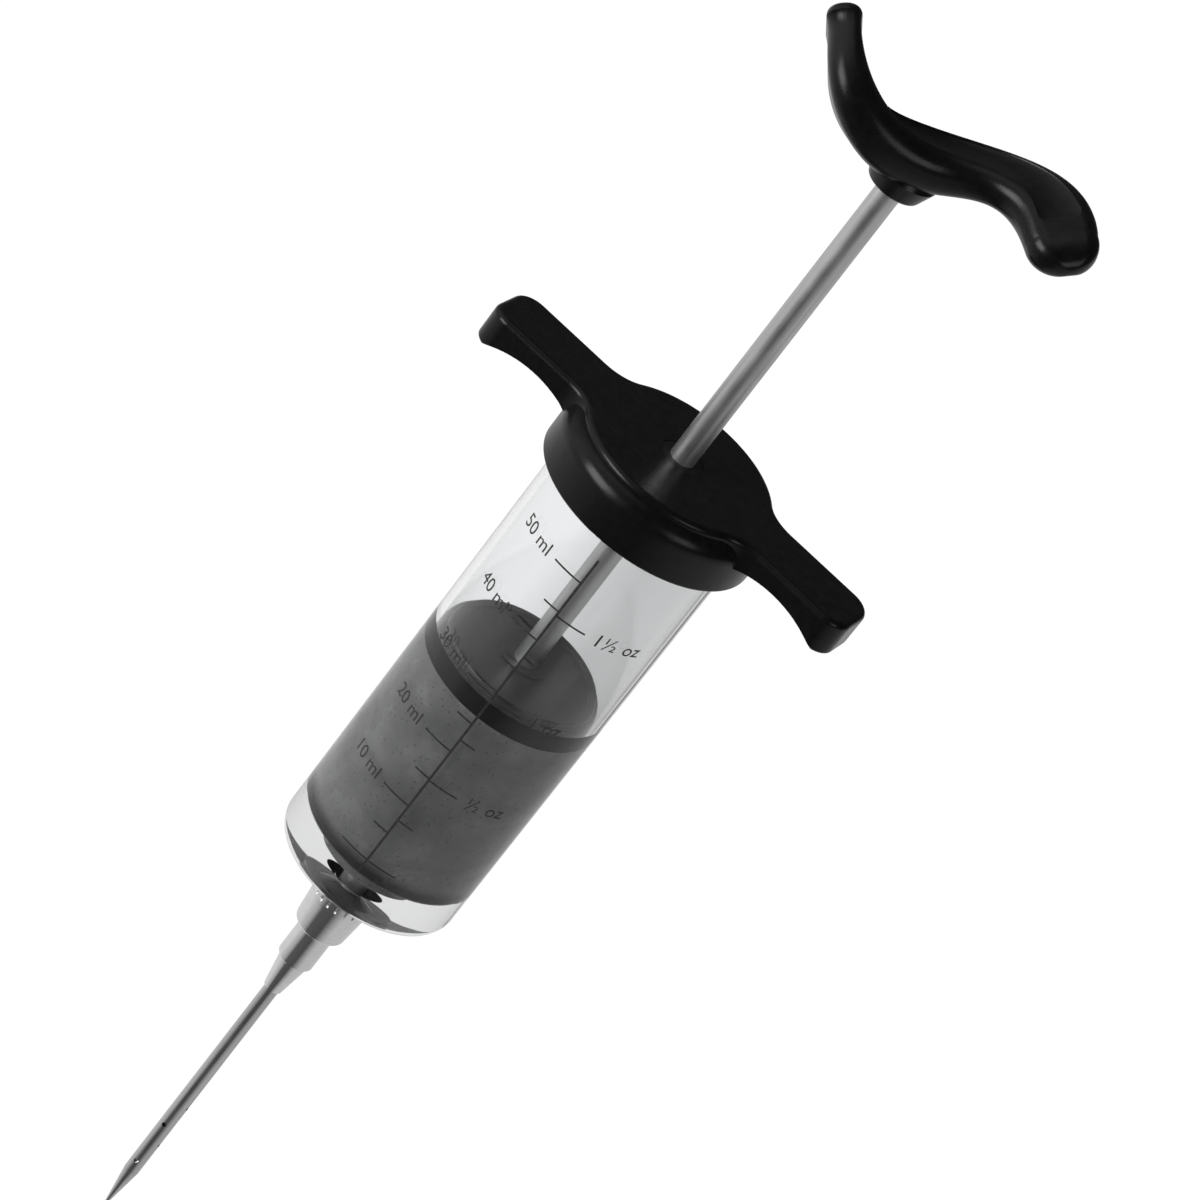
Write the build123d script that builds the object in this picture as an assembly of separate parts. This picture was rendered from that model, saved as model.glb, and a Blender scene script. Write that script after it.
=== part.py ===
from build123d import *
import os
from math import cos, radians, sin, tan

# Meat injector: a clear graduated barrel with a screwed finger grip, a plunger with a T handle, and a
# marinade needle held on the nose by a screwed nut.
# Millimetres. +Z runs up the axis from the needle to the handle and +X along the finger wings.
# The origin is on the axis at the middle of the barrel's plain outer wall.

# ---- barrel ----
BARREL_R = 17.0
BARREL_BORE_R = 15.5
WALL_HALF = 43.0  # half the length of the plain outer wall
BARREL_EDGE = 2.0  # rounding of the lower outer edge
BARREL_BOTTOM = -WALL_HALF - BARREL_EDGE
FLOOR_Z = BARREL_BOTTOM + 8.0
FLOOR_CORNER = 1.2
POCKET_R = 5.4  # clears the piston's washer and nut when the piston is at the floor
POCKET_Z = BARREL_BOTTOM + 3.0
RIM_Z = 48.8
OUTLET_R = 1.5
OUTLET_SINK_R = 3.4
OUTLET_SINK_DEPTH = 1.6

# ---- screw between barrel and finger grip ----
GRIP_PITCH = 3.0
NECK_R = 16.5
NECK_CREST_R = 17.3
GRIP_BORE_R = 17.55
GRIP_CREST_R = 16.75
NECK_THREAD_Z = 44.9  # middle of the ridge where it starts, at +X
GRIP_RIDGE_BASE = 1.2  # width of a ridge at its foot
GRIP_RIDGE_CREST = 0.7

# ---- screw between nose and needle nut ----
NOSE_PITCH = 2.0
NOSE_R = 3.55
NOSE_CREST_R = 4.1
NUT_BORE_R = 4.3
NUT_CREST_R = 3.75
NOSE_END_Z = -54.5
NOSE_THREAD_Z = -53.4
NOSE_THREAD_TURNS = 3.0
NOSE_RIDGE_BASE = 0.8
NOSE_RIDGE_CREST = 0.45

# ---- finger grip ----
SKIRT_R = 20.0
SKIRT_Z = 43.0
GRIP_TOP_Z = 52.5
ROOF_Z = 50.0
SHOULDER_R = 3.5
SKIRT_EDGE = 0.5
WING_SPAN = 77.6
WING_WIDTH = 13.2
WING_CORNER = 4.0
WING_TOP_Z = 53.5
WING_ROOT_Z = 48.6  # underside beside the skirt
WING_HOLLOW_Z = 49.8  # underside at the top of the finger hollow
WING_LIP_Z = 46.5  # underside at the tip
WING_EDGE = 1.1
WING_LIP_EDGE = 0.5
WING_LIP = 1.2  # how far the drooping lip reaches in from the tip
WING_HOLLOW_AT = 0.72  # of the half span
CROWN_R = 17.8  # round middle of the raised top
CROWN_BLEND = 7.0
CROWN_BOTTOM_Z = 47.0
BOSS_R = 7.5
BOSS_Z = 46.0
CAP_GASKET_R = 17.3
CAP_GASKET_BORE_R = 15.7
CAP_GASKET_GAP = 0.05  # above and below the flat ring under the roof

# ---- rod, its guide and wiper ----
ROD_R = 2.25
SPIGOT_R = 1.8
BUSH_R = 4.0
BUSH_BORE_R = 2.31
WIPER_R = 5.0
WIPER_BORE_R = 2.29
WIPER_TOP_Z = 48.6
RETAINER_TOP_Z = 47.1
RETAINER_BOTTOM_Z = 46.4
RETAINER_BORE_R = 2.8
BUSH_TOP_Z = 53.4
ROD_CHAMFER = 0.4

# ---- piston, from the top down ----
PISTON_TOP_Z = 6.4
PLATE_R = 14.3
PLATE_T = 1.5
PLATE_EDGE = 0.4
PLATE_DISH_R = 12.6
PLATE_DISH_DEPTH = 0.5
PLATE_HUB_R = 4.3  # raised middle of the top plate
CORE_R = 11.5
CORE_H = 3.7
SEAL_GAP = 0.06  # beside and above the seal, which slides between the two plates
SEAL_R = 15.45
SEAL_LIP = 1.1
SEAL_GROOVE = 0.5
SEAL_EDGE = 0.3
WASHER_R = 5.0
WASHER_T = 0.8
LOCK_R = 3.9
LOCK_T = 1.0
LOCK_SLOT = 0.8
LOCK_SLANT = 30.0
NUT_FLATS = 7.0
NUT_H = 3.2
ROD_PAST_NUT = 0.3
HOLE_R = 1.85

# ---- handle ----
HUB_Z = 113.2
HUB_R = 4.6
HUB_FLARE_R = 6.0
HUB_FLARE_Z = 116.6
HUB_EDGE = 0.8
INSERT_R = 3.4
INSERT_BOTTOM_Z = 113.6
INSERT_TOP_Z = 120.2
INSERT_KNURLS = 16
INSERT_KNURL_R = 0.35
INSERT_PLAIN_END = 1.0
# The bar: where its middle runs, how far its broad side leans back from upright, its width and thickness.
BAR_STATIONS = [
    (-21.6, 0.4, 127.6, 128, 11.0, 5.6),
    (-15.6, -4.2, 124.0, 126, 12.0, 6.2),
    (-7.6, -4.6, 120.3, 114, 12.4, 8.2),
    (0.0, 0.0, 119.6, 92, 12.6, 8.6),
    (8.0, 4.6, 122.4, 84, 12.2, 6.4),
    (16.0, 5.2, 125.2, 76, 12.0, 6.2),
    (22.6, 2.6, 125.9, 64, 12.4, 6.4),
    (26.4, -0.2, 125.0, 60, 11.6, 6.2),
]
BAR_CORNER = 0.46  # of the bar's thickness
BAR_TIPS = (2.6, 5.6)  # length of the rounded end at the first and at the last station
BAR_TIP_STEPS = (0, 25, 45, 62, 76, 85)  # degrees round the end's profile
# The thumb dish along the broad side, as shares of the bar's width and thickness. It fades out at both ends.
DISH_HALF_WIDTH = 0.3
DISH_SINK = 0.17
DISH_FADE = 0.6

# ---- needle and its nut ----
NUT_TOP_Z = BARREL_BOTTOM - 0.1
NUT_BOTTOM_Z = -60.6
NUT_R = 5.4
NUT_LOW_R = 4.8
NUT_WAIST_Z = -54.0
NUT_RIBS = 20
NUT_RIB_R = 0.28
NUT_EDGE = 0.6
NUT_RIB_MARGIN = 0.8  # plain length above and below the grooves
NUT_HOLE_R = 3.0
CAVITY_Z = -58.2  # shoulder inside the nut that lifts the needle flange
GASKET_R = 3.9
GASKET_TOP_Z = NOSE_END_Z - 0.1
GASKET_T = 1.4
FLANGE_R = 4.1
NECK_SLEEVE_R = 2.85
FERRULE_TOP_Z = -60.7
FERRULE_R = 3.4
FERRULE_SHOULDER_Z = -68.6
FERRULE_END_Z = -76.4
FERRULE_END_R = 1.75
FERRULE_EDGE = 0.3
FERRULE_SHOULDER = 0.55  # bevel where the taper starts
NEEDLE_R = 1.4
NEEDLE_HELD_R = 1.2  # turned down inside the flange and ferrule
NEEDLE_BORE_R = 0.9
NEEDLE_TUBE_END_Z = -126.0
NEEDLE_TIP_Z = -136.4
FLANGE_GAP = 0.1
POINT_PLUG = 4.0
POINT_TIP_R = 0.15
SIDE_HOLE_R = 0.45
SIDE_HOLE_FIRST_Z = -123.0
SIDE_HOLE_STEP = 5.0
SIDE_HOLES = 4


def turned(*points):
    """A solid of revolution about Z from its (radius, height) outline."""
    return revolve(make_face(Plane.XZ * Polyline(*points, close=True)), Axis.Z)


def ring(outer, inner, low, high):
    """A plain ring between two heights."""
    return turned((inner, low), (outer, low), (outer, high), (inner, high))


def disc(radius, low, high):
    """A plain cylinder between two heights."""
    return Pos(0, 0, low) * Cylinder(radius, high - low, align=(Align.CENTER, Align.CENTER, Align.MIN))


def edges_at(solid, radius, height):
    """The circular edges of one radius at one height."""
    found = solid.edges().filter_by(GeomType.CIRCLE)
    return found.filter_by(lambda e: abs(e.radius - radius) < 0.01 and abs(e.arc_center.Z - height) < 0.01)


def thread_ridge(root, crest, base, top, pitch, turns, start_z, start_angle):
    """A helical ridge. Its foot is sunk a little past the root, away from the crest."""
    sunk = 0.2 if root > crest else -0.2
    path = Helix(pitch=pitch, height=pitch * turns, radius=root)
    section = Plane(origin=path @ 0, x_dir=(1, 0, 0), z_dir=path % 0) * Polygon(
        (sunk, -base / 2), (crest - root, -top / 2), (crest - root, top / 2), (sunk, base / 2), align=None
    )
    ridge = sweep(section, path=path, is_frenet=True)
    return Pos(0, 0, start_z) * Rot(0, 0, start_angle) * ridge


def make_barrel():
    shell = turned(
        (OUTLET_R, NOSE_END_Z),
        (NOSE_R, NOSE_END_Z),
        (NOSE_R, BARREL_BOTTOM),
        (BARREL_R, BARREL_BOTTOM),
        (BARREL_R, WALL_HALF),
        (NECK_R, WALL_HALF),
        (NECK_R, RIM_Z),
        (BARREL_BORE_R, RIM_Z),
        (BARREL_BORE_R, FLOOR_Z),
        (POCKET_R, FLOOR_Z),
        (POCKET_R, POCKET_Z),
        (OUTLET_SINK_R, POCKET_Z),
        (OUTLET_R, POCKET_Z - OUTLET_SINK_DEPTH),
    )
    shell = fillet(edges_at(shell, BARREL_R, BARREL_BOTTOM), BARREL_EDGE)
    shell = fillet(edges_at(shell, BARREL_BORE_R, FLOOR_Z), FLOOR_CORNER)
    neck = thread_ridge(
        NECK_R, NECK_CREST_R, GRIP_RIDGE_BASE, GRIP_RIDGE_CREST, GRIP_PITCH, 1.0, NECK_THREAD_Z, 0
    )
    nose = thread_ridge(
        NOSE_R,
        NOSE_CREST_R,
        NOSE_RIDGE_BASE,
        NOSE_RIDGE_CREST,
        NOSE_PITCH,
        NOSE_THREAD_TURNS,
        NOSE_THREAD_Z,
        0,
    )
    return shell + neck + nose


def make_finger_grip():
    cap = turned(
        (0, ROOF_Z),
        (GRIP_BORE_R, ROOF_Z),
        (GRIP_BORE_R, SKIRT_Z),
        (SKIRT_R, SKIRT_Z),
        (SKIRT_R, GRIP_TOP_Z),
        (0, GRIP_TOP_Z),
    )
    cap = fillet(edges_at(cap, SKIRT_R, GRIP_TOP_Z), SHOULDER_R)
    cap = fillet(edges_at(cap, SKIRT_R, SKIRT_Z), SKIRT_EDGE)
    plan = Circle(CROWN_R) + RectangleRounded(WING_SPAN, WING_WIDTH, WING_CORNER)
    inner_corners = plan.vertices().filter_by(
        lambda v: abs(v.X) < CROWN_R and abs(abs(v.Y) - WING_WIDTH / 2) < 0.01
    )
    plan = fillet(inner_corners, CROWN_BLEND)
    slab = Pos(0, 0, CROWN_BOTTOM_Z) * extrude(plan, WING_TOP_Z - CROWN_BOTTOM_Z)
    half = WING_SPAN / 2
    lip_x = half - WING_LIP
    hollow_x = half * WING_HOLLOW_AT
    root_x = SKIRT_R - 1
    side = Polyline((lip_x, WING_LIP_Z), (half + 1, WING_LIP_Z), (half + 1, WING_TOP_Z))
    side += Line((half + 1, WING_TOP_Z), (-half - 1, WING_TOP_Z))
    side += Polyline((-half - 1, WING_TOP_Z), (-half - 1, WING_LIP_Z), (-lip_x, WING_LIP_Z))
    side += ThreePointArc((-lip_x, WING_LIP_Z), (-hollow_x, WING_HOLLOW_Z), (-root_x, WING_ROOT_Z))
    side += Line((-root_x, WING_ROOT_Z), (root_x, WING_ROOT_Z))
    side += ThreePointArc((root_x, WING_ROOT_Z), (hollow_x, WING_HOLLOW_Z), (lip_x, WING_LIP_Z))
    profile = Pos(0, SKIRT_R, 0) * extrude(make_face(Plane.XZ * side), 2 * SKIRT_R)
    wings = slab & profile
    top_edges = wings.edges().group_by(Axis.Z)[-1]
    wings = fillet(top_edges, WING_EDGE)
    wings = fillet(wings.edges().group_by(Axis.Z)[0], WING_LIP_EDGE)
    grip = cap + wings
    grip -= disc(GRIP_BORE_R, SKIRT_Z - 1, ROOF_Z)
    grip += disc(BOSS_R, BOSS_Z, ROOF_Z)
    grip -= disc(BUSH_R, BOSS_Z - 1, WING_TOP_Z + 1)
    grip -= disc(WIPER_R, BOSS_Z - 1, WIPER_TOP_Z)
    quarter = GRIP_PITCH / 4
    ridge = thread_ridge(
        GRIP_BORE_R,
        GRIP_CREST_R,
        GRIP_RIDGE_BASE,
        GRIP_RIDGE_CREST,
        GRIP_PITCH,
        1.0,
        NECK_THREAD_Z - GRIP_PITCH / 2 + quarter,
        90,
    )
    return grip + ridge


def make_piston_seal():
    core_top = PISTON_TOP_Z - PLATE_T
    low = core_top - CORE_H + SEAL_GAP
    high = core_top - SEAL_GAP
    inner = CORE_R + SEAL_GAP
    return turned(
        (inner, low),
        (SEAL_R - SEAL_EDGE, low),
        (SEAL_R, low + SEAL_EDGE),
        (SEAL_R, low + SEAL_LIP),
        (SEAL_R - SEAL_GROOVE, low + SEAL_LIP + SEAL_EDGE),
        (SEAL_R - SEAL_GROOVE, high - SEAL_LIP - SEAL_EDGE),
        (SEAL_R, high - SEAL_LIP),
        (SEAL_R, high - SEAL_EDGE),
        (SEAL_R - SEAL_EDGE, high),
        (inner, high),
    )


def make_piston_plate(low, dished):
    plate = ring(PLATE_R, HOLE_R, low, low + PLATE_T)
    if dished:
        plate -= ring(PLATE_DISH_R, PLATE_HUB_R, low + PLATE_T - PLATE_DISH_DEPTH, low + PLATE_T + 1)
    edges = edges_at(plate, PLATE_R, low) + edges_at(plate, PLATE_R, low + PLATE_T)
    return fillet(edges, PLATE_EDGE)


def make_rod(end_z):
    rod = disc(ROD_R, PISTON_TOP_Z, INSERT_TOP_Z) + disc(SPIGOT_R, end_z, PISTON_TOP_Z)
    rod = chamfer(edges_at(rod, SPIGOT_R, end_z), ROD_CHAMFER)
    return chamfer(edges_at(rod, ROD_R, INSERT_TOP_Z), ROD_CHAMFER)


def make_lock_washer(low):
    """A split spring washer: a ring with a slanting slot."""
    washer = ring(LOCK_R, HOLE_R, low, low + LOCK_T)
    slot = Box(LOCK_R, LOCK_SLOT, LOCK_T * 4, align=(Align.MIN, Align.CENTER, Align.CENTER))
    return washer - Pos(0, 0, low + LOCK_T / 2) * Rot(LOCK_SLANT, 0, 0) * slot


def make_hex_nut(low):
    nut = Pos(0, 0, low) * extrude(RegularPolygon(NUT_FLATS / 2, 6, major_radius=False), NUT_H)
    corner_r = NUT_FLATS / 2 / cos(radians(30))
    drop = (corner_r - NUT_FLATS / 2) * tan(radians(30)) + 0.1
    dome = turned(
        (0, low),
        (NUT_FLATS / 2, low),
        (corner_r + 0.1, low + drop),
        (corner_r + 0.1, low + NUT_H - drop),
        (NUT_FLATS / 2, low + NUT_H),
        (0, low + NUT_H),
    )
    return (nut & dome) - disc(SPIGOT_R, low - 1, low + NUT_H + 1)


def bar_plane(station, along):
    """The plane of one cross-section of the bar, with the broad side along its x."""
    middle, lean = Vector(*station[:3]), radians(station[3])
    upright = Vector(0, sin(lean), cos(lean))
    return Plane(origin=middle, x_dir=upright - along * upright.dot(along), z_dir=along)


def bar_outline(width, thickness):
    return RectangleRounded(width, thickness, thickness * BAR_CORNER)


def bar_tip(plane, width, thickness, length):
    """One rounded end of the bar, starting from its last cross-section. A negative length points back."""
    sections = []
    for step in BAR_TIP_STEPS:
        shrink = cos(radians(step))
        reach = Pos(0, 0, length * sin(radians(step)))
        sections.append(plane * reach * bar_outline(width * shrink, thickness * shrink))
    return loft(sections)


def make_bar():
    """The twisted bar, lofted through its stations, with rounded ends and a dish for the thumb."""
    middles = [Vector(*s[:3]) for s in BAR_STATIONS]
    last = len(middles) - 1
    planes = []
    outlines = []
    dishes = []
    for i, station in enumerate(BAR_STATIONS):
        along = (middles[min(i + 1, last)] - middles[max(i - 1, 0)]).normalized()
        plane = bar_plane(station, along)
        width, thickness = station[4:]
        lift = DISH_FADE if i in (0, last) else 0
        planes.append(plane)
        outlines.append(plane * bar_outline(width, thickness))
        dish = Ellipse(width * DISH_HALF_WIDTH, thickness * DISH_SINK)
        dishes.append(plane * Pos(0, thickness * (0.5 + lift)) * dish)
    bar = loft(outlines)
    bar += bar_tip(planes[0], *BAR_STATIONS[0][4:], -BAR_TIPS[0])
    bar += bar_tip(planes[last], *BAR_STATIONS[last][4:], BAR_TIPS[1])
    return bar - loft(dishes)


def make_handle():
    hub = turned(
        (0, HUB_Z),
        (HUB_R, HUB_Z),
        (HUB_FLARE_R, HUB_FLARE_Z),
        (HUB_R, HUB_FLARE_Z + 3),
        (0, HUB_FLARE_Z + 3),
    )
    hub = fillet(edges_at(hub, HUB_R, HUB_Z), HUB_EDGE)
    return (make_bar() + hub) - disc(INSERT_R, HUB_Z - 1, INSERT_TOP_Z)


def make_handle_insert():
    """A brass insert with grooves along its outside that the handle grips."""
    insert = ring(INSERT_R, ROD_R, INSERT_BOTTOM_Z, INSERT_TOP_Z)
    groove = Cylinder(INSERT_KNURL_R, INSERT_TOP_Z - INSERT_BOTTOM_Z - 2 * INSERT_PLAIN_END)
    middle = (INSERT_TOP_Z + INSERT_BOTTOM_Z) / 2
    return insert - [Pos(0, 0, middle) * p * groove for p in PolarLocations(INSERT_R, INSERT_KNURLS)]


def make_needle_nut():
    body = turned(
        (0, NUT_BOTTOM_Z),
        (NUT_LOW_R, NUT_BOTTOM_Z),
        (NUT_R, NUT_WAIST_Z),
        (NUT_R, NUT_TOP_Z),
        (0, NUT_TOP_Z),
    )
    body = fillet(edges_at(body, NUT_LOW_R, NUT_BOTTOM_Z) + edges_at(body, NUT_R, NUT_TOP_Z), NUT_EDGE)
    body -= disc(NUT_BORE_R, CAVITY_Z, NUT_TOP_Z + 1)
    body -= disc(NUT_HOLE_R, NUT_BOTTOM_Z - 1, CAVITY_Z)
    rib_length = NUT_TOP_Z - NUT_WAIST_Z - 2 * NUT_RIB_MARGIN
    groove = Cylinder(NUT_RIB_R, rib_length)
    groove_z = (NUT_TOP_Z + NUT_WAIST_Z) / 2
    body -= [Pos(0, 0, groove_z) * p * groove for p in PolarLocations(NUT_R, NUT_RIBS)]
    ridge = thread_ridge(
        NUT_BORE_R,
        NUT_CREST_R,
        NOSE_RIDGE_BASE,
        NOSE_RIDGE_CREST,
        NOSE_PITCH,
        NOSE_THREAD_TURNS - 1,
        NOSE_THREAD_Z + NOSE_PITCH / 2,
        0,
    )
    return body + ridge


def make_needle_flange():
    top = GASKET_TOP_Z - GASKET_T
    low = CAVITY_Z + FLANGE_GAP
    return turned(
        (NEEDLE_HELD_R, FERRULE_TOP_Z),
        (NECK_SLEEVE_R, FERRULE_TOP_Z),
        (NECK_SLEEVE_R, low),
        (FLANGE_R, low),
        (FLANGE_R, top),
        (NEEDLE_HELD_R, top),
    )


def make_needle_ferrule():
    ferrule = turned(
        (NEEDLE_HELD_R, FERRULE_END_Z),
        (FERRULE_END_R, FERRULE_END_Z),
        (FERRULE_R - FERRULE_SHOULDER, FERRULE_SHOULDER_Z - FERRULE_SHOULDER),
        (FERRULE_R, FERRULE_SHOULDER_Z),
        (FERRULE_R, FERRULE_TOP_Z),
        (NEEDLE_HELD_R, FERRULE_TOP_Z),
    )
    return fillet(edges_at(ferrule, FERRULE_R, FERRULE_TOP_Z), FERRULE_EDGE)


def make_needle_tube():
    tube = ring(NEEDLE_R, NEEDLE_BORE_R, NEEDLE_TUBE_END_Z, FERRULE_END_Z)
    tube += ring(NEEDLE_HELD_R, NEEDLE_BORE_R, FERRULE_END_Z, GASKET_TOP_Z - GASKET_T)
    for i in range(SIDE_HOLES):
        drill = Rot(90, 0, 0) * Cylinder(SIDE_HOLE_R, NEEDLE_R * 3)
        tube -= Pos(0, 0, SIDE_HOLE_FIRST_Z + i * SIDE_HOLE_STEP) * Rot(0, 0, 90 * (i % 2)) * drill
    return tube


def make_needle_point():
    """A closed conical point with a short plug inside the tube."""
    return turned(
        (0, NEEDLE_TIP_Z),
        (POINT_TIP_R, NEEDLE_TIP_Z),
        (NEEDLE_R, NEEDLE_TUBE_END_Z),
        (NEEDLE_BORE_R, NEEDLE_TUBE_END_Z),
        (NEEDLE_BORE_R, NEEDLE_TUBE_END_Z + POINT_PLUG),
        (0, NEEDLE_TUBE_END_Z + POINT_PLUG),
    )


core_top = PISTON_TOP_Z - PLATE_T
core_low = core_top - CORE_H
washer_top = core_low - PLATE_T
lock_top = washer_top - WASHER_T
nut_top = lock_top - LOCK_T

PARTS = {
    "barrel": make_barrel(),
    "finger_grip": make_finger_grip(),
    "cap_gasket": ring(CAP_GASKET_R, CAP_GASKET_BORE_R, RIM_Z + CAP_GASKET_GAP, ROOF_Z - CAP_GASKET_GAP),
    "rod_bush": ring(BUSH_R, BUSH_BORE_R, WIPER_TOP_Z, BUSH_TOP_Z),
    "rod_wiper": ring(WIPER_R, WIPER_BORE_R, RETAINER_TOP_Z, WIPER_TOP_Z),
    "wiper_retainer": ring(WIPER_R, RETAINER_BORE_R, RETAINER_BOTTOM_Z, RETAINER_TOP_Z),
    "plunger_rod": make_rod(nut_top - NUT_H - ROD_PAST_NUT),
    "handle": make_handle(),
    "handle_insert": make_handle_insert(),
    "piston_top_plate": make_piston_plate(core_top, True),
    "piston_core": ring(CORE_R, HOLE_R, core_low, core_top),
    "piston_seal": make_piston_seal(),
    "piston_bottom_plate": make_piston_plate(core_low - PLATE_T, False),
    "piston_washer": ring(WASHER_R, HOLE_R, washer_top - WASHER_T, washer_top),
    "piston_lock_washer": make_lock_washer(lock_top - LOCK_T),
    "piston_nut": make_hex_nut(nut_top - NUT_H),
    "needle_nut": make_needle_nut(),
    "needle_gasket": ring(GASKET_R, OUTLET_R, GASKET_TOP_Z - GASKET_T, GASKET_TOP_Z),
    "needle_flange": make_needle_flange(),
    "needle_ferrule": make_needle_ferrule(),
    "needle_tube": make_needle_tube(),
    "needle_point": make_needle_point(),
}

os.makedirs("parts", exist_ok=True)
for name, solid in PARTS.items():
    export_step(solid, f"parts/{name}.step")
    print(name, solid.is_valid, round(solid.volume, 1))
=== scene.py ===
import math

import bmesh
import bpy
from mathutils import Matrix, Vector


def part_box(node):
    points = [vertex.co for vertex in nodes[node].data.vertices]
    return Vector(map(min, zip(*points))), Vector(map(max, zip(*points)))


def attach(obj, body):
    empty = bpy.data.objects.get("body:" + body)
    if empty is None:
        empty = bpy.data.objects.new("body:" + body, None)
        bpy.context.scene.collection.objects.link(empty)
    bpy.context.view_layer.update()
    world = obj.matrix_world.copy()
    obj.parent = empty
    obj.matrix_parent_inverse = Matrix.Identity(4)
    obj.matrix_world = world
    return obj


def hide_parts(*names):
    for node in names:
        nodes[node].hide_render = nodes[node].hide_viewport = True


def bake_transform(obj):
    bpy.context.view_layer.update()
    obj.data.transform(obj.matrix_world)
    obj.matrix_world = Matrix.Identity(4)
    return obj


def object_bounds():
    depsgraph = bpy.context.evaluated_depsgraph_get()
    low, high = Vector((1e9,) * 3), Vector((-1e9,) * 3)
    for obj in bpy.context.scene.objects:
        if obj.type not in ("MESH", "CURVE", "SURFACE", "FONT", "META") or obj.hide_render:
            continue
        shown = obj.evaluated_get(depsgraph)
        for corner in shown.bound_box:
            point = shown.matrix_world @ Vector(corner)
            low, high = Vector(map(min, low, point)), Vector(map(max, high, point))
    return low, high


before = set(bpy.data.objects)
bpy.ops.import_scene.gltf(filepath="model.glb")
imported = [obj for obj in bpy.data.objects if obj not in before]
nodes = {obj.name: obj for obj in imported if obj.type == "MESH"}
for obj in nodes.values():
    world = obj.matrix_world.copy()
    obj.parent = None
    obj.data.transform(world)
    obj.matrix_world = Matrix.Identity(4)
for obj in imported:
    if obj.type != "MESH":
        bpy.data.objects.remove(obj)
cad_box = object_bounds()
scene = bpy.context.scene

# ---- sizes in metres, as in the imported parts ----
BARREL_R = 0.0170
BORE_R = 0.0155
FLOOR_Z = -0.0370
FLOOR_CORNER = 0.0012
POCKET_R = 0.0054  # the pocket in the floor, which lets the piston's washer and nut in
POCKET_Z = -0.0420
OUTLET_R = 0.0015
OUTLET_SINK_R = 0.0034
OUTLET_SINK = 0.0016
NOSE_END_Z = -0.0545
ROD_END_R = 0.0018

# ---- sizes in metres that are only in this script ----
# the marinade and the seal reach this far into the clear plastic, so that no air shows between them
OVERLAP = 0.00005
SEAL_SQUASH = 0.0008  # the seal's lips and groove stand within this of the bore
FLOOR_SHADE_TOP = 0.0060  # how far above the floor the marinade's painted shade by height ends

# ---- the printed scale, in metres ----
LINE_AZ = 9.3  # where the scale's line stands, in degrees from -Y toward +X
INK_R = BARREL_R + 0.00001
INK_T = 0.00004
LINE_LOW, LINE_HIGH = -0.0360, 0.0385
LINE_HALF_WIDTH = 0.00022
MARK_HALF_WIDTH = 0.00016
SCALE_ZERO = -0.03295
PER_10_ML = 0.01325
PER_HALF_OZ = 0.0196
ML_MARKS = (0.0058, 0.0032)  # how far the long and the short marks reach from the line
OZ_MARKS = (0.0056, 0.0030)
OZ_FIGURES = ("½ oz", "1 oz", "1½ oz")
FIGURE_AT = 0.0072
FIGURE_SIZE = 0.0036

# ---- the camera, in degrees and metres ----
VIEW_AZ = 11.0  # from -Y toward +X
VIEW_EL = 30.5
VIEW_LEAN = 37.9  # how far the camera is rolled
VIEW_DISTANCE = 0.85
VIEW_AIM = (0.00344, 0.00104, 0.02335)
SENSOR_MM = 36
LENS_MM = 154.05

# ---- the studio ----
FLOOR_DROP = 0.12  # how far the floor is below the needle's tip
FLOOR_HALF = 4.0
# the light that the floor and the sky give to the object, as (azimuth, strength): see round_about
FLOOR_GIVES = (
    (0.0, 0.6), (0.06, 0.75), (0.24, 0.75), (0.36, 0.4), (0.41, 0.04),
    (0.54, 0.02), (0.61, 0.35), (0.67, 0.55), (0.94, 0.6), (1.0, 0.6),
)
SKY_GIVES = (
    (0.0, 0.05), (0.12, 0.2), (0.25, 1.0), (0.38, 0.4), (0.48, 0.04),
    (0.75, 0.02), (0.9, 0.03), (1.0, 0.05),
)
FLOOR_SEEN = 0.98
SKY_SEEN = 1.0
SKY_VEIL = 0.2
FLOOR_VEIL = (0.1, 0.5)  # at the object's left and at its right
VEIL_EDGE = 0.03  # the floor's veil goes from one to the other within this of the axis


# ================= material helpers =================
def material(name):
    """A new material: the material, its node tree and its Principled shader."""
    mat = bpy.data.materials.new(name)
    mat.use_nodes = True
    tree = mat.node_tree
    return mat, tree, tree.nodes["Principled BSDF"]


def coords(tree, scale=(1, 1, 1)):
    """Object coordinates, in metres, multiplied by scale."""
    where = tree.nodes.new("ShaderNodeTexCoord")
    mapping = tree.nodes.new("ShaderNodeMapping")
    mapping.inputs["Scale"].default_value = scale
    tree.links.new(where.outputs["Object"], mapping.inputs["Vector"])
    return mapping.outputs["Vector"]


def noise(tree, vector, scale, detail=3.0, rough=0.5):
    """A noise value from 0 to 1."""
    node = tree.nodes.new("ShaderNodeTexNoise")
    node.inputs["Scale"].default_value = scale
    node.inputs["Detail"].default_value = detail
    node.inputs["Roughness"].default_value = rough
    tree.links.new(vector, node.inputs["Vector"])
    return node.outputs["Fac"]


def voronoi(tree, vector, scale):
    """The distance to the nearest of many scattered points."""
    node = tree.nodes.new("ShaderNodeTexVoronoi")
    node.inputs["Scale"].default_value = scale
    tree.links.new(vector, node.inputs["Vector"])
    return node.outputs["Distance"]


def spread(tree, value, low, high, start=0.3, end=0.7):
    """Maps a value between start and end to low and high."""
    node = tree.nodes.new("ShaderNodeMapRange")
    node.inputs["From Min"].default_value = start
    node.inputs["From Max"].default_value = end
    node.inputs["To Min"].default_value = low
    node.inputs["To Max"].default_value = high
    tree.links.new(value, node.inputs["Value"])
    return node.outputs["Result"]


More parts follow.
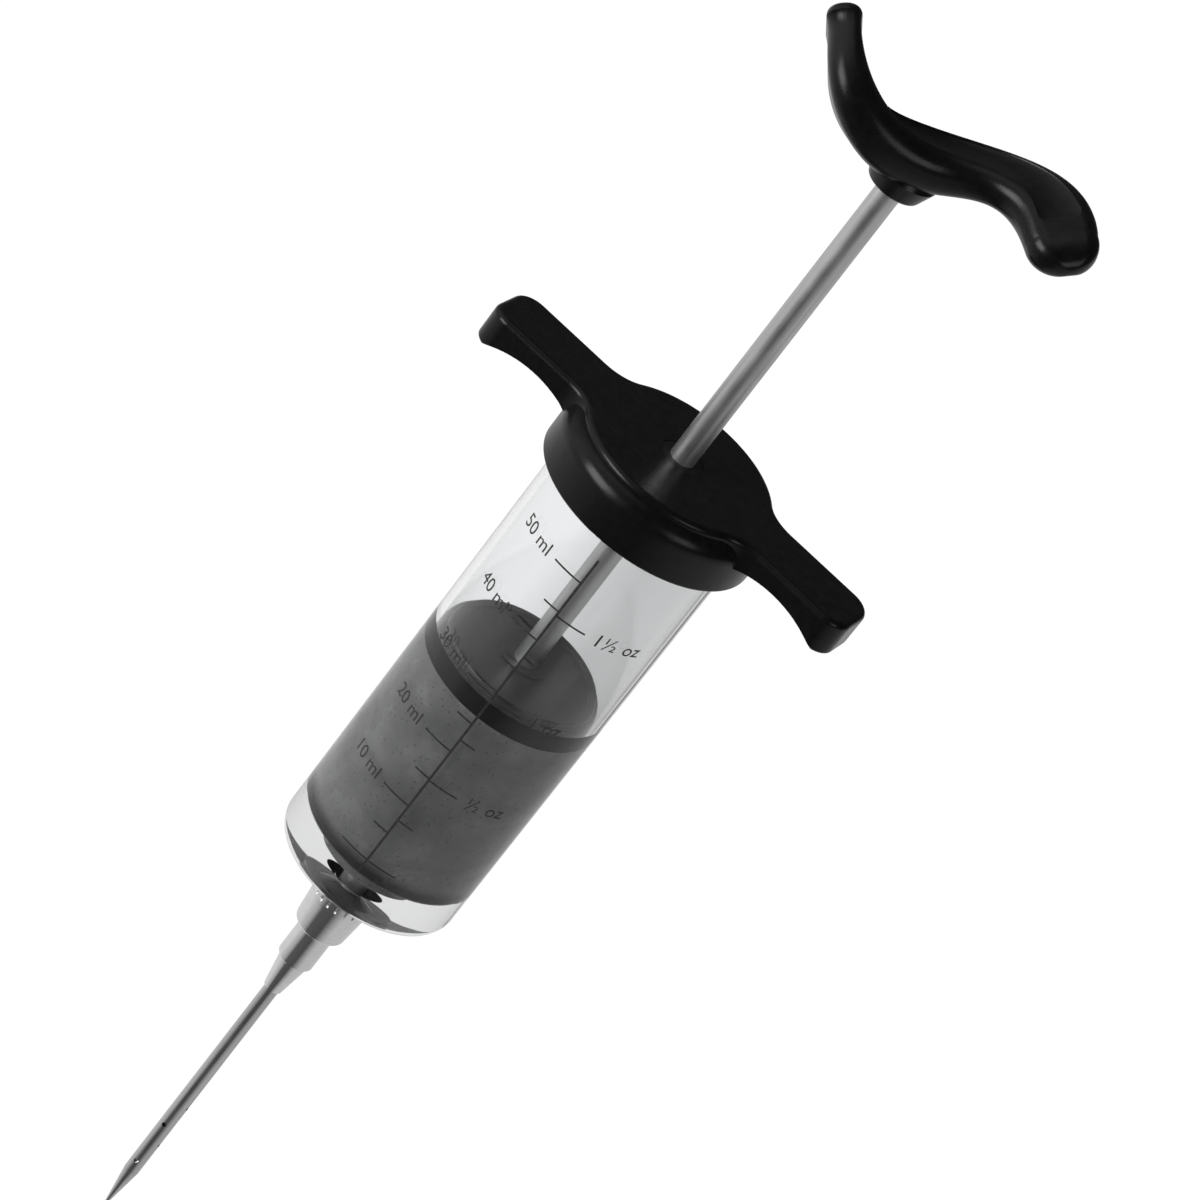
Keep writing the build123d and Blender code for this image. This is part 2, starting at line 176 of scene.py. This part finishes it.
def colours(tree, value, *stops):
    """A colour ramp over (position, grey or rgb) stops."""
    node = tree.nodes.new("ShaderNodeValToRGB")
    ramp = node.color_ramp
    while len(ramp.elements) < len(stops):
        ramp.elements.new(0.5)
    for element, (position, colour) in zip(ramp.elements, stops):
        rgb = (colour,) * 3 if isinstance(colour, (int, float)) else colour
        element.position = position
        element.color = (*rgb, 1)
    tree.links.new(value, node.inputs["Fac"])
    return node.outputs["Color"]


def bump(tree, height, distance, strength=1.0, under=None):
    """A bumped normal, over another bumped normal where one is given."""
    node = tree.nodes.new("ShaderNodeBump")
    node.inputs["Distance"].default_value = distance
    node.inputs["Strength"].default_value = strength
    tree.links.new(height, node.inputs["Height"])
    if under is not None:
        tree.links.new(under, node.inputs["Normal"])
    return node.outputs["Normal"]


# ================= materials =================
def moulded(name, dark, light, rough, grain=0.000012, specular=0.5):
    """Moulded plastic or rubber: fine grain over a slow waviness, and a little wear in colour and gloss."""
    mat, tree, shader = material(name)
    at = coords(tree)
    slow = noise(tree, at, 90, 2)
    mid = noise(tree, at, 700, 4)
    fine = noise(tree, at, 4500, 2)
    tree.links.new(colours(tree, mid, (0.25, dark), (0.8, light)), shader.inputs["Base Color"])
    tree.links.new(spread(tree, slow, rough[0], rough[1]), shader.inputs["Roughness"])
    wavy = bump(tree, slow, 0.0003, 0.35)
    tree.links.new(bump(tree, fine, grain, 1.0, wavy), shader.inputs["Normal"])
    shader.inputs["Specular IOR Level"].default_value = specular
    return mat


# how coordinates are scaled, for tool lines that run along the axis, round it, and more faintly round it
DRAWN = (1, 1, 0.015)
TURNED = (0.03, 0.03, 1)
PLATED = (0.3, 0.3, 1)


def metal(name, dark, light, rough, lie, grain=0.000004):
    """Metal with tool lines, which lie as the scaled coordinates stretch them."""
    mat, tree, shader = material(name)
    shader.inputs["Metallic"].default_value = 1.0
    lines = noise(tree, coords(tree, lie), 2500, 3)
    smudge = noise(tree, coords(tree), 160, 4)
    tree.links.new(colours(tree, lines, (0.3, dark), (0.7, light)), shader.inputs["Base Color"])
    tree.links.new(spread(tree, smudge, rough[0], rough[1]), shader.inputs["Roughness"])
    tree.links.new(bump(tree, lines, grain), shader.inputs["Normal"])
    return mat


def clear_plastic():
    """Clear moulded plastic with the faintest waviness."""
    mat, tree, shader = material("clear_plastic_look")
    shader.inputs["Base Color"].default_value = (0.97, 0.975, 0.98, 1)
    shader.inputs["Transmission Weight"].default_value = 1.0
    shader.inputs["IOR"].default_value = 1.49
    at = coords(tree)
    tree.links.new(spread(tree, noise(tree, at, 260, 4), 0.01, 0.05), shader.inputs["Roughness"])
    tree.links.new(bump(tree, noise(tree, at, 120, 2), 0.00004, 0.3), shader.inputs["Normal"])
    return mat


def marinade_look():
    """A cloudy liquid with fine specks of spice in it, and painted shade by height: a dark band just above
    the floor and a little in the pocket.
    """
    mat, tree, shader = material("marinade_look")
    at = coords(tree)
    height = tree.nodes.new("ShaderNodeSeparateXYZ")
    tree.links.new(at, height.inputs["Vector"])
    level = spread(tree, height.outputs["Z"], 0, 1, POCKET_Z, FLOOR_Z + FLOOR_SHADE_TOP)
    # painted shade by height: a little in the pocket up to 0.4, a dark band just above the floor from 0.46 to
    # 0.62, and none in the open marinade from 0.8
    painted_floor_shade = colours(tree, level, (0.0, 0.9), (0.4, 0.6), (0.46, 0.1), (0.62, 0.1), (0.8, 1.0))
    cloud = noise(tree, at, 110, 5, 0.6)
    specks = voronoi(tree, at, 900)
    body = colours(tree, cloud, (0.3, 0.17), (0.7, 0.31))
    fleck = colours(tree, specks, (0.1, 0.35), (0.22, 1.0))
    mix = tree.nodes.new("ShaderNodeMix")
    mix.data_type = "RGBA"
    mix.blend_type = "MULTIPLY"
    mix.inputs["Factor"].default_value = 0.7
    tree.links.new(body, mix.inputs["A"])
    tree.links.new(fleck, mix.inputs["B"])
    # the marinade's colour is darkened by the painted shade above the floor
    shaded_colour = tree.nodes.new("ShaderNodeVectorMath")
    shaded_colour.operation = "SCALE"
    tree.links.new(mix.outputs["Result"], shaded_colour.inputs["Vector"])
    tree.links.new(painted_floor_shade, shaded_colour.inputs["Scale"])
    tree.links.new(shaded_colour.outputs["Vector"], shader.inputs["Base Color"])
    tree.links.new(spread(tree, cloud, 0.15, 0.35), shader.inputs["Roughness"])
    tree.links.new(bump(tree, cloud, 0.00005, 0.4), shader.inputs["Normal"])
    shader.inputs["IOR"].default_value = 1.34
    return mat


def ink_look():
    """Dark printing ink, a little worn."""
    mat, tree, shader = material("scale_ink_look")
    wear = noise(tree, coords(tree), 1500, 4, 0.6)
    tree.links.new(colours(tree, wear, (0.35, 0.01), (0.75, 0.05)), shader.inputs["Base Color"])
    tree.links.new(spread(tree, wear, 0.45, 0.7), shader.inputs["Roughness"])
    tree.links.new(bump(tree, wear, 0.00001, 0.5), shader.inputs["Normal"])
    return mat


LOOKS = {
    "clear": clear_plastic(),
    "black": moulded("black_plastic_look", 0.002, 0.006, (0.2, 0.32), specular=0.2),
    "rubber": moulded("seal_rubber_look", 0.004, 0.010, (0.5, 0.7), 0.00002, specular=0.2),
    "guide": moulded("guide_plastic_look", 0.006, 0.014, (0.4, 0.55), specular=0.2),
    "piston": moulded("piston_plastic_look", 0.018, 0.032, (0.3, 0.45)),
    "rod": metal("drawn_steel_look", 0.44, 0.56, (0.36, 0.48), DRAWN),
    "needle": metal("needle_steel_look", 0.42, 0.56, (0.16, 0.28), DRAWN),
    "turned": metal("turned_steel_look", 0.5, 0.66, (0.2, 0.34), TURNED),
    "chrome": metal("chromed_look", 0.68, 0.74, (0.05, 0.12), PLATED, 0.0000006),
    "brass": metal("brass_look", (0.62, 0.44, 0.18), (0.78, 0.6, 0.3), (0.22, 0.36), TURNED),
    "ink": ink_look(),
    "marinade": marinade_look(),
}

NODE_LOOKS = {
    "barrel": "clear",
    "finger_grip": "black",
    "cap_gasket": "rubber",
    "rod_bush": "guide",
    "rod_wiper": "rubber",
    "wiper_retainer": "turned",
    "plunger_rod": "rod",
    "handle": "black",
    "handle_insert": "brass",
    "piston_top_plate": "piston",
    "piston_core": "piston",
    "piston_seal": "rubber",
    "piston_bottom_plate": "piston",
    "piston_washer": "turned",
    "piston_lock_washer": "turned",
    "piston_nut": "turned",
    "needle_nut": "chrome",
    "needle_gasket": "rubber",
    "needle_flange": "turned",
    "needle_ferrule": "chrome",
    "needle_tube": "needle",
    "needle_point": "needle",
}
for name, look in NODE_LOOKS.items():
    nodes[name].data.materials.clear()
    nodes[name].data.materials.append(LOOKS[look])


# ================= pieces =================
def new_piece(name, mesh, look, body=None):
    """A visible piece with its look, riding on a body where one is given."""
    piece = bpy.data.objects.new(name, mesh)
    scene.collection.objects.link(piece)
    mesh.materials.clear()
    mesh.materials.append(LOOKS[look])
    if body:
        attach(piece, body)
    return piece


def revolve(name, outline, segments=192):
    """A closed mesh turned about Z from (radius, height) points, the first and last of them on the axis."""
    points = []
    rings = []
    for radius, height in outline:
        if radius == 0:
            rings.append([len(points)])
            points.append((0, 0, height))
        else:
            rings.append(list(range(len(points), len(points) + segments)))
            for i in range(segments):
                a = 2 * math.pi * i / segments
                points.append((radius * math.cos(a), radius * math.sin(a), height))
    faces = []
    for low, high in zip(rings, rings[1:]):
        for i in range(segments):
            j = (i + 1) % segments
            if len(low) == 1:
                faces.append((low[0], high[j], high[i]))
            elif len(high) == 1:
                faces.append((low[i], low[j], high[0]))
            else:
                faces.append((low[i], low[j], high[j], high[i]))
    mesh = bpy.data.meshes.new(name)
    mesh.from_pydata(points, [], faces)
    for face in mesh.polygons:
        face.use_smooth = True
    mesh.set_sharp_from_angle(angle=math.radians(35))
    return mesh


def make_marinade():
    """The marinade fills the bore under the seal, the pocket and the outlet. Its top follows the underside of
    the piston at rest.
    """
    wall = BORE_R + OVERLAP
    floor = FLOOR_Z - OVERLAP
    corner = [
        (wall - FLOOR_CORNER * (1 - math.sin(a)), floor + FLOOR_CORNER * (1 - math.cos(a)))
        for a in [math.radians(15 * i) for i in range(7)]
    ]
    low_end = NOSE_END_Z + 0.0001
    seal_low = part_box("piston_seal")[0].z
    plate_low, plate_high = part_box("piston_bottom_plate")
    washer_low, washer_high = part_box("piston_washer")
    nut_low, nut_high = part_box("piston_nut")
    rod_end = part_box("plunger_rod")[0].z
    outline = [
        (0, low_end),
        (OUTLET_R + OVERLAP, low_end),
        (OUTLET_R + OVERLAP, POCKET_Z - OUTLET_SINK),
        (OUTLET_SINK_R + OVERLAP, POCKET_Z - OVERLAP),
        (POCKET_R + OVERLAP, POCKET_Z - OVERLAP),
        (POCKET_R + OVERLAP, floor),
        *corner,
        (wall, seal_low - OVERLAP),
        (plate_high.x + OVERLAP, seal_low - OVERLAP),
        (plate_high.x + OVERLAP, plate_low.z - OVERLAP),
        (washer_high.x + OVERLAP, plate_low.z - OVERLAP),
        (washer_high.x + OVERLAP, washer_low.z - OVERLAP),
        (nut_high.x + OVERLAP, washer_low.z - OVERLAP),
        (nut_high.x + OVERLAP, nut_low.z - OVERLAP),
        (ROD_END_R + OVERLAP, nut_low.z - OVERLAP),
        (ROD_END_R + OVERLAP, rod_end - OVERLAP),
        (0, rod_end - OVERLAP),
    ]
    piece = new_piece("marinade", revolve("marinade", outline), "marinade")
    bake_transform(piece)


def make_wet_seal():
    """The seal pressed flat against the bore, its groove too, with no air between them."""
    mesh = nodes["piston_seal"].data.copy()
    for vertex in mesh.vertices:
        radius = math.hypot(vertex.co.x, vertex.co.y)
        if radius > BORE_R - SEAL_SQUASH:
            grow = (BORE_R + OVERLAP) / radius
            vertex.co.x *= grow
            vertex.co.y *= grow
    piece = new_piece("wet_seal", mesh, "rubber", "piston")
    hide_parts("piston_seal")


def wrapped(x, z, radius):
    """A flat point wrapped on the barrel's wall: x round it from the scale's line, and z along it."""
    azimuth = math.radians(LINE_AZ) + x / BARREL_R
    return Vector((radius * math.sin(azimuth), -radius * math.cos(azimuth), z))


def ink_strip(work, x0, x1, z0, z1, steps):
    """A printed strip on the wall as a closed thin shell."""
    rows = []
    for i in range(steps + 1):
        x = x0 + (x1 - x0) * i / steps
        rows.append([work.verts.new(wrapped(x, z, r)) for r in (INK_R, INK_R + INK_T) for z in (z0, z1)])
    for a, b in zip(rows, rows[1:]):
        for p, q in ((0, 1), (1, 3), (3, 2), (2, 0)):
            work.faces.new((a[p], a[q], b[q], b[p]))
    work.faces.new((rows[0][0], rows[0][2], rows[0][3], rows[0][1]))
    work.faces.new((rows[-1][0], rows[-1][1], rows[-1][3], rows[-1][2]))


def ink_mark(work, x0, x1, z):
    """A mark across the wall at height z."""
    ink_strip(work, x0, x1, z - MARK_HALF_WIDTH, z + MARK_HALF_WIDTH, 6)


def ink_text(work, text, x, z, align):
    """Printed figures wrapped on the wall."""
    curve = bpy.data.curves.new("figures", "FONT")
    curve.body = text
    curve.size = FIGURE_SIZE
    curve.align_x = align
    curve.align_y = "CENTER"
    curve.extrude = INK_T / 2
    curve.resolution_u = 4
    holder = bpy.data.objects.new("figures", curve)
    scene.collection.objects.link(holder)
    bpy.context.view_layer.update()
    mesh = bpy.data.meshes.new_from_object(holder.evaluated_get(bpy.context.evaluated_depsgraph_get()))
    bpy.data.objects.remove(holder)
    for vertex in mesh.vertices:
        px, py, depth = vertex.co
        vertex.co = wrapped(x + px, z + py, INK_R + INK_T / 2 + depth)
    work.from_mesh(mesh)
    bpy.data.meshes.remove(mesh)


def make_scale():
    """The printed scale: a line down the front, millilitres to its left and fluid ounces to its right."""
    work = bmesh.new()
    ink_strip(work, -LINE_HALF_WIDTH, LINE_HALF_WIDTH, LINE_LOW, LINE_HIGH, 2)
    for k in range(11):
        z = SCALE_ZERO + PER_10_ML * k / 2
        ink_mark(work, -ML_MARKS[k % 2], -LINE_HALF_WIDTH, z)
        if k and k % 2 == 0:
            ink_text(work, f"{5 * k} ml", -FIGURE_AT, z, "RIGHT")
    for k in range(7):
        z = SCALE_ZERO + PER_HALF_OZ * k / 2
        ink_mark(work, LINE_HALF_WIDTH, OZ_MARKS[k % 2], z)
        if k and k % 2 == 0:
            ink_text(work, OZ_FIGURES[k // 2 - 1], FIGURE_AT, z, "LEFT")
    bmesh.ops.remove_doubles(work, verts=work.verts, dist=1e-7)
    bmesh.ops.recalc_face_normals(work, faces=work.faces)
    mesh = bpy.data.meshes.new("scale_print")
    work.to_mesh(mesh)
    work.free()
    new_piece("scale_print", mesh, "ink", "barrel")


make_marinade()
make_wet_seal()
make_scale()


# ================= studio =================
def math_node(tree, operation, *values):
    """A Math node over numbers and sockets."""
    node = tree.nodes.new("ShaderNodeMath")
    node.operation = operation
    for socket, value in zip(node.inputs, values):
        if isinstance(value, (int, float)):
            socket.default_value = value
        else:
            tree.links.new(value, socket)
    return node.outputs["Value"]


def backdrop_light(tree, seen, veil, given):
    """The backdrop's strength: seen by the camera, less a veil through clear plastic, and given as light."""
    path = tree.nodes.new("ShaderNodeLightPath").outputs
    clear = math_node(tree, "GREATER_THAN", path["Transmission Depth"], 0.5)
    lost = math_node(tree, "MULTIPLY", clear, veil)
    seen = math_node(tree, "MULTIPLY", seen, math_node(tree, "SUBTRACT", 1.0, lost))
    matt = math_node(tree, "GREATER_THAN", path["Diffuse Depth"], 0.5)
    shiny = math_node(tree, "GREATER_THAN", path["Glossy Depth"], 0.5)
    through = math_node(tree, "COMPARE", path["Transmission Depth"], 2.0, 0.5)
    mirrored = math_node(tree, "MULTIPLY", shiny, math_node(tree, "SUBTRACT", 1.0, through))
    indirect = math_node(tree, "MAXIMUM", matt, mirrored)
    change = math_node(tree, "SUBTRACT", given, seen)
    return math_node(tree, "MULTIPLY_ADD", indirect, change, seen)


def across(tree, where):
    """How far a place is to the camera's right of the axis."""
    dot = tree.nodes.new("ShaderNodeVectorMath")
    dot.operation = "DOT_PRODUCT"
    azimuth = math.radians(VIEW_AZ)
    dot.inputs[1].default_value = (math.cos(azimuth), math.sin(azimuth), 0)
    tree.links.new(where, dot.inputs[0])
    return dot.outputs["Value"]


def round_about(tree, where, *stops):
    """A value by azimuth about the axis: 0.5 is toward the camera, 0.25 at its left and 0.75 at its right."""
    turn = tree.nodes.new("ShaderNodeMapping")
    turn.inputs["Rotation"].default_value = (0, 0, math.radians(90 - VIEW_AZ))
    tree.links.new(where, turn.inputs["Vector"])
    wheel = tree.nodes.new("ShaderNodeTexGradient")
    wheel.gradient_type = "RADIAL"
    tree.links.new(turn.outputs["Vector"], wheel.inputs["Vector"])
    return colours(tree, wheel.outputs["Fac"], *stops)


def studio_floor():
    """A plain floor, white where it is seen."""
    mesh = bpy.data.meshes.new("studio_floor")
    half = FLOOR_HALF
    z = cad_box[0].z - FLOOR_DROP
    corners = [(-half, -half, z), (half, -half, z), (half, half, z), (-half, half, z)]
    mesh.from_pydata(corners, [], [(0, 1, 2, 3)])
    floor = bpy.data.objects.new("studio_floor", mesh)
    scene.collection.objects.link(floor)
    mat, tree, shader = material("studio_floor_look")
    under_glow = colours(tree, noise(tree, coords(tree), 6, 3), (0.3, 0.10), (0.7, 0.11))
    tree.links.new(under_glow, shader.inputs["Base Color"])
    shader.inputs["Roughness"].default_value = 0.9
    shader.inputs["Specular IOR Level"].default_value = 0.0
    shader.inputs["Emission Color"].default_value = (1, 1, 1, 1)
    place = coords(tree)
    given = round_about(tree, place, *FLOOR_GIVES)
    veil = spread(tree, across(tree, place), *FLOOR_VEIL, -VEIL_EDGE, VEIL_EDGE)
    tree.links.new(backdrop_light(tree, FLOOR_SEEN, veil, given), shader.inputs["Emission Strength"])
    mesh.materials.append(mat)


def studio_world():
    """A plain white sky."""
    world = bpy.data.worlds.new("studio")
    world.use_nodes = True
    tree = world.node_tree
    shade = tree.nodes["Background"]
    shade.inputs["Color"].default_value = (1, 1, 1, 1)
    way = tree.nodes.new("ShaderNodeTexCoord").outputs["Generated"]
    given = round_about(tree, way, *SKY_GIVES)
    tree.links.new(backdrop_light(tree, SKY_SEEN, SKY_VEIL, given), shade.inputs["Strength"])
    scene.world = world


def softbox(name, at, size, power):
    """A square soft light that points at the origin."""
    data = bpy.data.lights.new(name, "AREA")
    data.shape = "RECTANGLE"
    data.size = size
    data.size_y = size
    data.energy = power
    lamp = bpy.data.objects.new(name, data)
    scene.collection.objects.link(lamp)
    lamp.location = at
    lamp.rotation_euler = (-Vector(at)).to_track_quat("-Z", "Y").to_euler()


def photo_camera():
    """The camera at the photograph's viewing angle, rolled as the photograph is."""
    azimuth, elevation, lean = math.radians(VIEW_AZ), math.radians(VIEW_EL), math.radians(VIEW_LEAN)
    data = bpy.data.cameras.new("camera")
    data.sensor_width = SENSOR_MM
    data.lens = LENS_MM
    data.clip_start, data.clip_end = 0.01, 50
    camera = bpy.data.objects.new("camera", data)
    scene.collection.objects.link(camera)
    level = math.cos(elevation)
    outward = Vector((math.sin(azimuth) * level, -math.cos(azimuth) * level, math.sin(elevation)))
    place = VIEW_DISTANCE * outward
    look = (Vector(VIEW_AIM) - place).normalized()
    axis_up = (Vector((0, 0, 1)) - look * look.z).normalized()
    axis_right = look.cross(axis_up)
    right = axis_right * math.cos(lean) + axis_up * math.sin(lean)
    up = axis_up * math.cos(lean) - axis_right * math.sin(lean)
    turn = Matrix((right, up, -look)).transposed()
    camera.matrix_world = Matrix.Translation(place) @ turn.to_4x4()
    scene.camera = camera


studio_floor()
studio_world()
softbox("key", (-0.9, -1.1, 0.5), 0.8, 16)
softbox("fill", (1.2, -0.7, 0.8), 0.6, 3)
photo_camera()
scene.view_settings.view_transform = "Standard"
scene.view_settings.look = "None"
